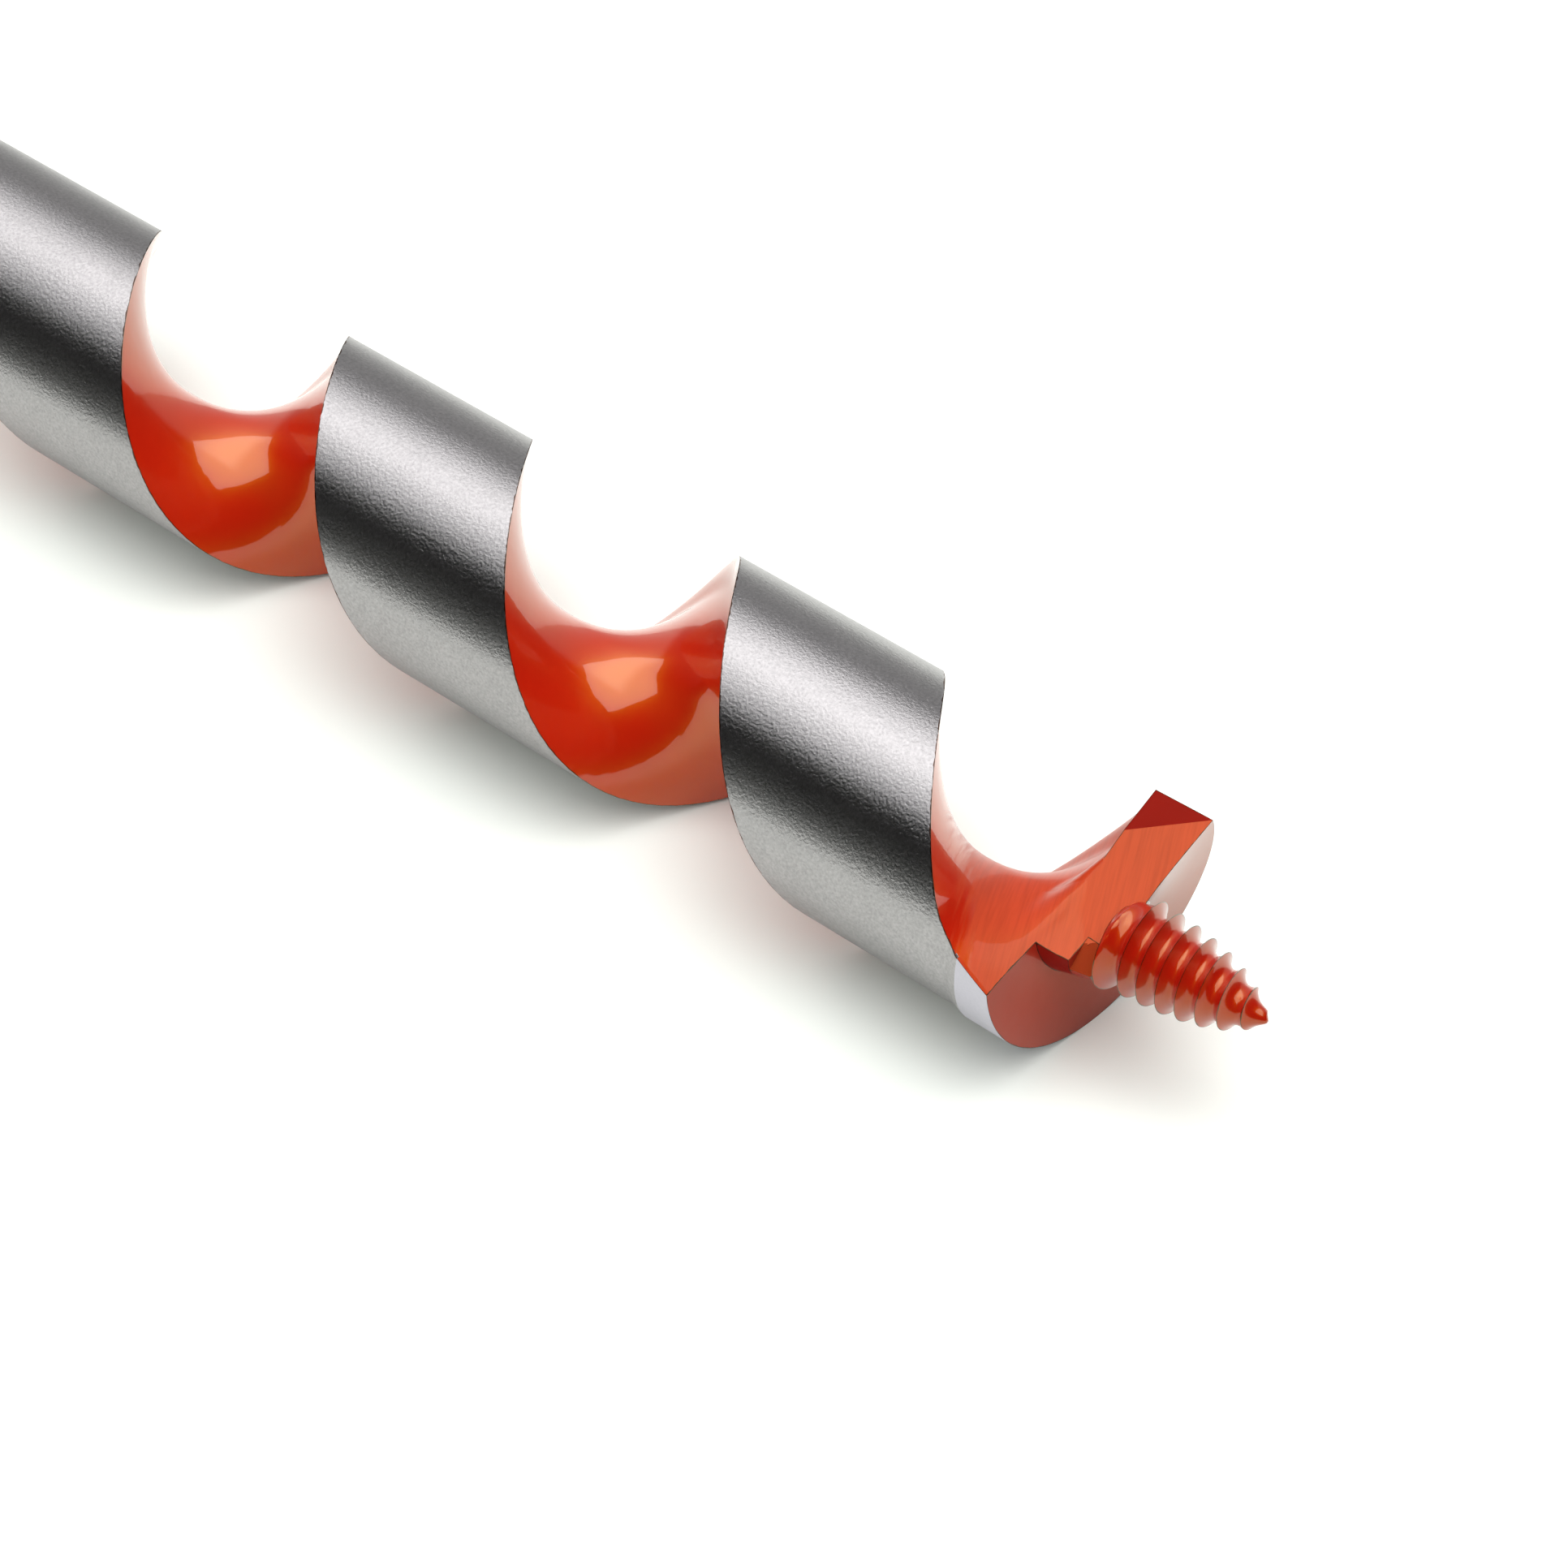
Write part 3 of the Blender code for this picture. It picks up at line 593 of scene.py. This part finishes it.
# The head's land, ground a second time: smoother than the twist's and faintly lilac.
ring_steel, tree, shader, position = start_material("fine_ground_steel", {
    "Base Color": colour("#c6c3cc"), "Metallic": 1.0, "Roughness": 0.5})
grain = add(tree, "ShaderNodeTexNoise", {"Scale": 3.2 / MM, "Detail": 2.0}, {"Vector": position})
tone = add(tree, "ShaderNodeMapRange", {"To Min": 0.94, "To Max": 1.06},
           {"Value": grain.outputs["Fac"]})
ground = add(tree, "ShaderNodeMix", {"data_type": "RGBA", "blend_type": "MULTIPLY",
                                     "Factor": 1.0, "A": colour("#c6c3cc")},
             {"B": tone.outputs["Result"]})
tree.links.new(ground.outputs["Result"], shader.inputs["Base Color"])
# The dip is duller and darker on the facet behind the lip.  On the boss the same dark, almost
# glossless lacquer is painted shade, for the dark that the boss reflects.  The dip is thin on the
# middle of the ramp.
dull_lacquer_and_shade = red_lacquer("red_lacquer_dull_and_painted_shade", "#80100a", 0.03, PEEL, 0.15)
ramp_lacquer = red_lacquer("red_lacquer_on_ramp", "#961f10", 0.35, PEEL, 0.15,
                           {"way": (0.0, 1.0, 0.0), "begin": 3.0 * MM, "end": 10.0 * MM,
                            "coat": 0.8, "body": "#961f10", "ragged": 0.0, "contrast": 0.0})
# Painted shade: a darker, less glossy lacquer on the seat in the corner at the screw's foot.
corner_shade_lacquer = red_lacquer("red_lacquer_painted_corner_shade", "#8c2618", 0.35, FINE_PEEL, 0.0)
make_piece("cutting_head_ground", bm, "cutting_head",
           [lacquer, ring_steel, dull_lacquer_and_shade, ramp_lacquer, corner_shade_lacquer])


# ---- Lead screw ------------------------------------------------------------------------------
# The screw point that draws the bit into the wood: one fine thread with a rounded root and a
# sharp crest, turned on the same bar and dipped with it, so that its crests are thinly
# covered and dark.  The rake face is ground across its neck and the start of its thread.

SCREW_LENGTH = 21.5 * MM
TIP_X = SCREW_SEAT + SCREW_LENGTH
THREAD_RISE = 9.5 * MM                      # the first crest rises from here on
THREAD_FULL = 10.9 * MM
FIRST_CREST = 0.4 * MM                      # how much the first crest stands proud
FIRST_SHIFT = 0.9 * MM                      # and how far it lies back
THREAD_RADIUS = 5.75 * MM
THREAD_PITCH = 2.265 * MM
CONE_END = 10.1 * MM                        # the boss's cone runs out in the first crest
CONE_END_RADIUS = 5.6 * MM
THREAD_DEPTH = 0.26                         # of the crest's radius
THREAD_TAPER = 0.20                         # and this much of it is lost towards the tip
THREAD_START_ANGLE = 52.6                   # degrees, sets where round the axis it begins
TIP_FLAT_RADIUS = 0.2 * MM
ROOT_POWER = 0.8                            # how round the thread's root is
NOSE_POWERS = (4, 0.75)                     # of the blunt curve that closes the tip
TIP_STEP = 0.02 * MM
RAKE_SHORT = 0.2 * MM                       # the rake face stops short of the first crest
FLAT_DROP = 0.04 * MM                       # and lies just under the head's
SLOPE_BORDER = Vector((7.61, -3.31, 0.08)) * MM             # a second flat, beside the rake
SLOPE_AHEAD = Vector((1.39, 0.87, 0.37)).normalized()       # face: a point of its border,
SLOPE_DOWN = Vector((0.39, -2.61, -2.23)).normalized()      # and its two directions
SLOPE_BACK, SLOPE_FRONT = -1.0, 4.0                         # millimetres along the one
SLOPE_TOP, SLOPE_FOOT = -4.0, 9.0                           # and along the other
SLOPE_CUT = 10.0                                            # millimetres across both
ALIKE = 0.999                               # two faces that look the same way
CONE_STEPS = 12
TURN_JOIN = 0.01 * MM                       # joins each turn of the thread to the next
THREAD_PROFILE_STEPS = 16
THREAD_STEPS = 96
FOOT = SCREW_SEAT + SCREW_NECK_LENGTH


def crest_radius(x):
    """Crest of the thread: rises from the neck, tapers a little, ends in a blunt nose."""
    share = min(max((x - FOOT) / (TIP_X - FOOT), 0.0), 1.0)
    nose = (1 - share ** NOSE_POWERS[0]) ** NOSE_POWERS[1]
    full = THREAD_RADIUS * (1 - THREAD_TAPER * share) * nose
    full += FIRST_CREST * (1 - smooth((x - THREAD_FULL) / THREAD_PITCH))
    rise = smooth((x - THREAD_RISE) / (THREAD_FULL - THREAD_RISE))
    return SCREW_NECK_RADIUS + (full - SCREW_NECK_RADIUS) * rise if rise < 1 else full


bm = bmesh.new()
first = FOOT - THREAD_PITCH * (THREAD_START_ANGLE / 360 + 1)
line = []
for i in range((math.ceil((TIP_X - first) / THREAD_PITCH) + 1) * THREAD_PROFILE_STEPS):
    share = i / THREAD_PROFILE_STEPS
    depth = THREAD_DEPTH * abs(math.sin(math.pi * share)) ** ROOT_POWER
    line.append(bm.verts.new((first + THREAD_PITCH * share, 0.0, 1 - depth)))
edges = [bm.edges.new(pair) for pair in zip(line, line[1:])]
bmesh.ops.spin(bm, geom=line + edges, cent=(0, 0, 0), axis=(1, 0, 0), angle=math.tau,
               steps=THREAD_STEPS, dvec=(THREAD_PITCH / THREAD_STEPS, 0, 0))
bmesh.ops.remove_doubles(bm, verts=bm.verts, dist=TURN_JOIN)
# The thread is cut off square at its foot, and where its nose is as small as the tip's flat.
# From there it is drawn out to its full length.
tip = TIP_X
while crest_radius(tip) < TIP_FLAT_RADIUS:
    tip -= TIP_STEP
for x, side in ((FOOT, -1), (tip, 1)):
    bmesh.ops.bisect_plane(bm, geom=bm.verts[:] + bm.edges[:] + bm.faces[:],
                           plane_co=(x, 0, 0), plane_no=(side, 0, 0), dist=JOIN,
                           clear_outer=True)
bmesh.ops.holes_fill(bm, edges=[edge for edge in bm.edges if edge.is_boundary], sides=0)
for vert in bm.verts:
    vert.co.x -= FIRST_SHIFT * (1 - smooth((vert.co.x - THREAD_FULL) / THREAD_PITCH))
    taper = crest_radius(vert.co.x)
    vert.co.y *= taper
    vert.co.z *= taper
    vert.co.x = FOOT + (vert.co.x - FOOT) * (TIP_X - FOOT) / (tip - FOOT)


def block_from(corners, way):
    """Block with those corners on one end, carried on that way."""
    form = bmesh.new()
    base = form.faces.new([form.verts.new(corner) for corner in corners])
    made = bmesh.ops.extrude_face_region(form, geom=[base])["geom"]
    bmesh.ops.translate(form, verts=only(bmesh.types.BMVert, made), vec=way)
    return form


def rake_block(end):
    """What the rake face takes off the screw, as far along as the end."""
    corners = [face_point(SCREW_SEAT - THREAD_PITCH, RAKE_TURN, across * HEAD_RADIUS, height)
               for across, height in ((-1, RAKE_RISE - FLAT_DROP), (1, RAKE_RISE - FLAT_DROP),
                                      (1, HEAD_RADIUS), (-1, HEAD_RADIUS))]
    return block_from(corners, (THREAD_PITCH + end - SCREW_SEAT, 0, 0))


# The boss's cone runs on under the start of the thread, which falls away to it beside the
# rake face.
profile = [(THREAD_FULL, 0.0), (THREAD_FULL, SCREW_NECK_RADIUS)]
profile += [(CONE_END + (SCREW_SEAT - CONE_END) * i / CONE_STEPS,
             CONE_END_RADIUS + (BOSS_END_RADIUS - CONE_END_RADIUS) * i / CONE_STEPS)
            for i in range(CONE_STEPS + 1)]
cone = combine(turned(profile + [(SCREW_SEAT, 0.0)]), rake_block(THREAD_FULL), "DIFFERENCE")
slope_way = SLOPE_DOWN.cross(SLOPE_AHEAD)
slope = block_from([SLOPE_BORDER + SLOPE_AHEAD * along * MM + SLOPE_DOWN * below * MM
                    for along, below in ((SLOPE_BACK, SLOPE_TOP), (SLOPE_FRONT, SLOPE_TOP),
                                         (SLOPE_FRONT, SLOPE_FOOT), (SLOPE_BACK, SLOPE_FOOT))],
                   slope_way * SLOPE_CUT * MM)
cone = combine(cone, slope, "DIFFERENCE")
bm = combine(bm, rake_block(THREAD_RISE - RAKE_SHORT), "DIFFERENCE")
bm = combine(bm, cone, "UNION")
bmesh.ops.remove_doubles(bm, verts=bm.verts, dist=CUT_JOIN)
# The form is split into triangles, and slivers folded shut on themselves, which that
# leaves where three points are nearly in line, are taken out in pairs.
bmesh.ops.triangulate(bm, faces=bm.faces)
sliver, doubled = {}, []
for face in bm.faces:
    corners = frozenset(face.verts)
    if corners in sliver:
        doubled += [face, sliver[corners]]
    sliver[corners] = face
bmesh.ops.delete(bm, geom=doubled, context="FACES")
mark_edges(bm, sharp_angle=45.0)
bm.normal_update()
cuts = (at_clock(RAKE_TURN), slope_way.normalized())
for face in bm.faces:
    face.material_index = 0
    for i, way in enumerate(cuts):
        if abs(face.normal.dot(way)) > ALIKE:
            face.material_index = i + 1
screw_lacquer = red_lacquer("red_lacquer_on_thread", "#a01308", 0.72, FINE_PEEL, 0.2)
bare_lacquer = red_lacquer("red_lacquer_at_seat", "#ac391c", 0.22, PEEL, 0.0)
# The flat beside the rake face, at the screw's foot, takes the painted corner shade.
make_piece("screw_point", bm, "lead_screw",
           [screw_lacquer, bare_lacquer, corner_shade_lacquer])


# ---- Hexagonal shank -------------------------------------------------------------------------
# Drawn hexagon steel, friction-welded to the round neck.  A collar is turned at the weld, a
# groove takes a quick-change holder's ball, and the tail is chamfered.

ACROSS_FLATS = 11.1 * MM
SHANK_LENGTH = 66.0 * MM
TAIL_X = WELD_X - SHANK_LENGTH
COLLAR_LENGTH = 8.0 * MM
TAIL_CHAMFER = 1.4 * MM
GROOVE_FROM_TAIL = 17.0 * MM
GROOVE_WIDTH = 6.0 * MM
GROOVE_DEPTH = 1.5 * MM
GROOVE_SLOPE = 0.3                          # of its width, on the groove's sides
GROOVE_STEPS = 24
CORNER_ROUND = 0.3 * MM
COLLAR_FOOT = 0.8                           # the collar's cone ends this far inside the flats
COLLAR_SLOPE = 1.4
OUTSIDE = 1.3                               # of the corners, clear of the hexagon
corner = ACROSS_FLATS / 2 / math.cos(math.pi / 6)
bm = bmesh.new()
loop = bmesh.ops.create_circle(bm, segments=6, radius=corner, cap_ends=True)["verts"]
bmesh.ops.bevel(bm, geom=loop, affect="VERTICES", offset=CORNER_ROUND, segments=3,
                profile=0.5, material=-1)
for vert in bm.verts:
    vert.co = Vector((TAIL_X, vert.co.y, vert.co.x))
made = bmesh.ops.extrude_face_region(bm, geom=bm.faces[:])["geom"]
bmesh.ops.translate(bm, verts=only(bmesh.types.BMVert, made),
                    vec=(SHANK_LENGTH - COLLAR_LENGTH / 2, 0, 0))
groove = TAIL_X + GROOVE_FROM_TAIL
clear = OUTSIDE * corner
side = GROOVE_SLOPE * GROOVE_WIDTH
profile = [(WELD_X, 0.0), (WELD_X, clear), (groove + GROOVE_WIDTH / 2, clear),
           (groove + GROOVE_WIDTH / 2, corner)]
for i in range(GROOVE_STEPS + 1):
    angle = math.pi * i / GROOVE_STEPS
    profile.append((groove + (GROOVE_WIDTH / 2 - side / 2) * math.cos(angle),
                    corner - GROOVE_DEPTH * math.sin(angle)))
profile += [(groove - GROOVE_WIDTH / 2, corner), (groove - GROOVE_WIDTH / 2, clear),
            (TAIL_X + TAIL_CHAMFER, clear), (TAIL_X + TAIL_CHAMFER, corner),
            (TAIL_X, corner - TAIL_CHAMFER), (TAIL_X, 0.0)]
bm = combine(bm, turned(profile), "INTERSECT")
slim = COLLAR_FOOT * ACROSS_FLATS / 2
cone = (NECK_RADIUS - slim) * COLLAR_SLOPE
collar_end = WELD_X - COLLAR_LENGTH
bm = combine(bm, turned([(WELD_X, 0.0), (WELD_X, NECK_RADIUS), (collar_end, NECK_RADIUS),
                         (collar_end - cone, slim), (collar_end - cone, 0.0)]), "UNION")
bmesh.ops.remove_doubles(bm, verts=bm.verts, dist=CUT_JOIN)
mark_edges(bm)
# Drawn and phosphated hexagon steel: darker than the ground land, with fine lengthwise lines.
drawn_steel, tree, shader, position = start_material("drawn_hexagon_steel", {
    "Base Color": colour("#8c8c90"), "Metallic": 1.0, "Roughness": 0.4})
stretch = add(tree, "ShaderNodeMapping", {"Scale": (0.05, 1.0, 1.0)}, {"Vector": position})
lines = add(tree, "ShaderNodeTexNoise", {"Scale": 3.0 / MM, "Detail": 3.0},
            {"Vector": stretch.outputs["Vector"]})
tone = add(tree, "ShaderNodeMapRange", {"To Min": 0.8, "To Max": 1.1},
           {"Value": lines.outputs["Fac"]})
drawn = add(tree, "ShaderNodeMix", {"data_type": "RGBA", "blend_type": "MULTIPLY",
                                    "Factor": 1.0, "A": colour("#8c8c90")},
            {"B": tone.outputs["Result"]})
tree.links.new(drawn.outputs["Result"], shader.inputs["Base Color"])
rough = add(tree, "ShaderNodeMapRange", {"To Min": 0.32, "To Max": 0.48},
            {"Value": lines.outputs["Fac"]})
tree.links.new(rough.outputs["Result"], shader.inputs["Roughness"])
make_piece("hexagon_shank", bm, "hex_shank", [drawn_steel])


# ---- Table -----------------------------------------------------------------------------------
# A white matt sheet that the bit lies on, large enough to fill the view from any side.  It
# takes the bit's shadow in front; behind the bit a painted glow washes the shadow out.

TABLE_RADIUS = 4.0
GLOW_FROM, GLOW_TO = 8.0 * MM, 45.0 * MM    # behind the bit's axis
PAINTED_GLOW = 0.15
bm = bmesh.new()
bmesh.ops.create_circle(bm, cap_ends=True, segments=96, radius=TABLE_RADIUS)
mesh = bpy.data.meshes.new("table")
bm.to_mesh(mesh)
bm.free()
table = bpy.data.objects.new("table", mesh)
bpy.context.scene.collection.objects.link(table)
paper, tree, shader, position = start_material("white_matt_sheet", {
    "Base Color": colour("#eef2ec"), "Roughness": 0.9, "Specular IOR Level": 0.0,
    "Emission Color": (1.0, 1.0, 1.0, 1.0)})
# Painted light: behind the bit the sheet glows, an emission seen only by camera, glossy and
# transmission rays, which washes out the shadow there and brightens it in reflections.
behind = add(tree, "ShaderNodeMapRange",
             {"interpolation_type": "SMOOTHSTEP", "From Min": GLOW_FROM, "From Max": GLOW_TO,
              "To Max": PAINTED_GLOW},
             {"Value": add(tree, "ShaderNodeSeparateXYZ", {}, {"Vector": position}).outputs["Y"]})
path = add(tree, "ShaderNodeLightPath")
seen = add(tree, "ShaderNodeMath", {"operation": "ADD"},
           {0: path.outputs["Is Camera Ray"], 1: path.outputs["Is Glossy Ray"]})
seen = add(tree, "ShaderNodeMath", {"operation": "ADD"},
           {0: seen.outputs["Value"], 1: path.outputs["Is Transmission Ray"]})
painted_glow = add(tree, "ShaderNodeMath", {"operation": "MULTIPLY"},
          {0: behind.outputs["Result"], 1: seen.outputs["Value"]})
tree.links.new(painted_glow.outputs["Value"], shader.inputs["Emission Strength"])
mesh.materials.append(paper)


# ---- Light -----------------------------------------------------------------------------------
# A softbox hangs over the bit, and the wall behind it is pale.  The front of the studio is
# dark, which gives the steel its black band.

def softbox(name, middle, size, power, aim, mirrored=True):
    lamp = bpy.data.lights.new(name, "AREA")
    lamp.shape = "RECTANGLE"
    lamp.size, lamp.size_y = size
    lamp.energy = power
    made = bpy.data.objects.new(name, lamp)
    made.location = middle
    made.rotation_euler = (Vector(aim) - Vector(middle)).to_track_quat("-Z", "Y").to_euler()
    made.visible_glossy = mirrored
    bpy.context.scene.collection.objects.link(made)


over = Vector((SEAT.x - 60.0 * MM, 0.0, SEAT.z))
softbox("overhead_softbox", middle=over + Vector((0.391, -0.095, 1.361)), size=(2.06, 1.82),
        power=33.0, aim=over + Vector((0.555, -0.299, 0.396)))
softbox("front_fill", middle=over + Vector((0.2, -1.2, 0.9)), size=(1.5, 1.0), power=6.8,
        aim=over, mirrored=False)

# A black card, a metre long, stands in front of the bit, out of the camera's sight: it cuts
# the near edge of the table out of the steel's reflection.
CARD_END = 110.0 * MM
CARD_PLACE = -160.0 * MM
CARD_HEIGHT = 50.0 * MM
bm = bmesh.new()
bmesh.ops.create_grid(bm, x_segments=1, y_segments=1, size=0.5)
for vert in bm.verts:
    vert.co = Vector((over.x + CARD_END + vert.co.x - 0.5, CARD_PLACE,
                      (vert.co.y + 0.5) * CARD_HEIGHT))
mesh = bpy.data.meshes.new("black_card")
bm.to_mesh(mesh)
bm.free()
card = bpy.data.objects.new("black_card", mesh)
bpy.context.scene.collection.objects.link(card)
felt = start_material("black_felt", {
    "Base Color": colour("#060606"), "Roughness": 1.0, "Specular IOR Level": 0.0})[0]
mesh.materials.append(felt)
card.visible_camera = False
card.visible_diffuse = False
card.visible_shadow = False

# The room is dark in front.  Behind the bit its wall is pale, ends softly on both sides and
# brightens upwards, and a faint light comes from the far left.
world = bpy.data.worlds.new("studio")
world.use_nodes = True
bpy.context.scene.world = world
tree = world.node_tree
room = tree.nodes["Background"]
sky = add(tree, "ShaderNodeTexCoord").outputs["Generated"]
way = add(tree, "ShaderNodeSeparateXYZ", {}, {"Vector": sky})
slant = add(tree, "ShaderNodeVectorMath", {"operation": "DOT_PRODUCT", 1: (1.0, 1.0, 0.2)},
            {0: sky})
left_end = add(tree, "ShaderNodeMapRange",
               {"interpolation_type": "SMOOTHSTEP", "From Min": -0.55, "From Max": -0.35},
               {"Value": slant.outputs["Value"]})
right_end = add(tree, "ShaderNodeMapRange",
                {"interpolation_type": "SMOOTHSTEP", "From Min": 0.48, "From Max": 0.36},
                {"Value": way.outputs["X"]})
back = add(tree, "ShaderNodeMapRange",
           {"interpolation_type": "SMOOTHSTEP", "From Min": -0.2, "From Max": 0.1},
           {"Value": way.outputs["Y"]})
wall = add(tree, "ShaderNodeMath", {"operation": "MULTIPLY"},
           {0: left_end.outputs["Result"], 1: right_end.outputs["Result"]})
wall = add(tree, "ShaderNodeMath", {"operation": "MULTIPLY"},
           {0: wall.outputs["Value"], 1: back.outputs["Result"]})
height = add(tree, "ShaderNodeMapRange", {"From Min": 0.45, "From Max": 0.9},
             {"Value": way.outputs["Z"]})
height = add(tree, "ShaderNodeMath", {"operation": "POWER", 1: 2.0},
             {0: height.outputs["Result"]})
scrim = add(tree, "ShaderNodeMath", {"operation": "MULTIPLY_ADD", 1: 0.9, 2: 0.5},
            {0: height.outputs["Value"]})
left = add(tree, "ShaderNodeMapRange", {"interpolation_type": "SMOOTHSTEP", "From Min": -0.3,
                                        "From Max": -0.9, "To Min": 0.0, "To Max": 0.13},
           {"Value": way.outputs["X"]})
level = add(tree, "ShaderNodeMath", {"operation": "MULTIPLY_ADD"},
            {0: wall.outputs["Value"], 1: scrim.outputs["Value"], 2: left.outputs["Result"]})
tree.links.new(level.outputs["Value"], room.inputs["Strength"])
room.inputs["Color"].default_value = (1.0, 1.0, 1.0, 1.0)


# ---- Camera ----------------------------------------------------------------------------------
# A long lens, above and in front of the screw point.  It looks down at the head of the bit,
# a little way back from the screw.

AIM_BACK = 36.1 * MM                        # from the seat of the head
AIM_HEIGHT = 8.79 * MM
AZIMUTH = math.radians(38.84)
ELEVATION = math.radians(46.97)
DISTANCE = 489.9 * MM
FOCAL_LENGTH = 99.53                        # millimetres, on film 36 mm wide
FILM_WIDTH = 36.0
aim = Vector((SEAT.x - AIM_BACK, 0.0, AIM_HEIGHT))
lens = bpy.data.cameras.new("camera")
lens.lens = FOCAL_LENGTH
lens.sensor_width = FILM_WIDTH
camera = bpy.data.objects.new("camera", lens)
camera.location = aim + DISTANCE * Vector((math.sin(AZIMUTH) * math.cos(ELEVATION),
                                           -math.cos(AZIMUTH) * math.cos(ELEVATION),
                                           math.sin(ELEVATION)))
camera.rotation_euler = (aim - camera.location).to_track_quat("-Z", "Y").to_euler()
bpy.context.scene.collection.objects.link(camera)
bpy.context.scene.camera = camera
bpy.context.scene.view_settings.view_transform = "Standard"

bpy.context.view_layer.update()
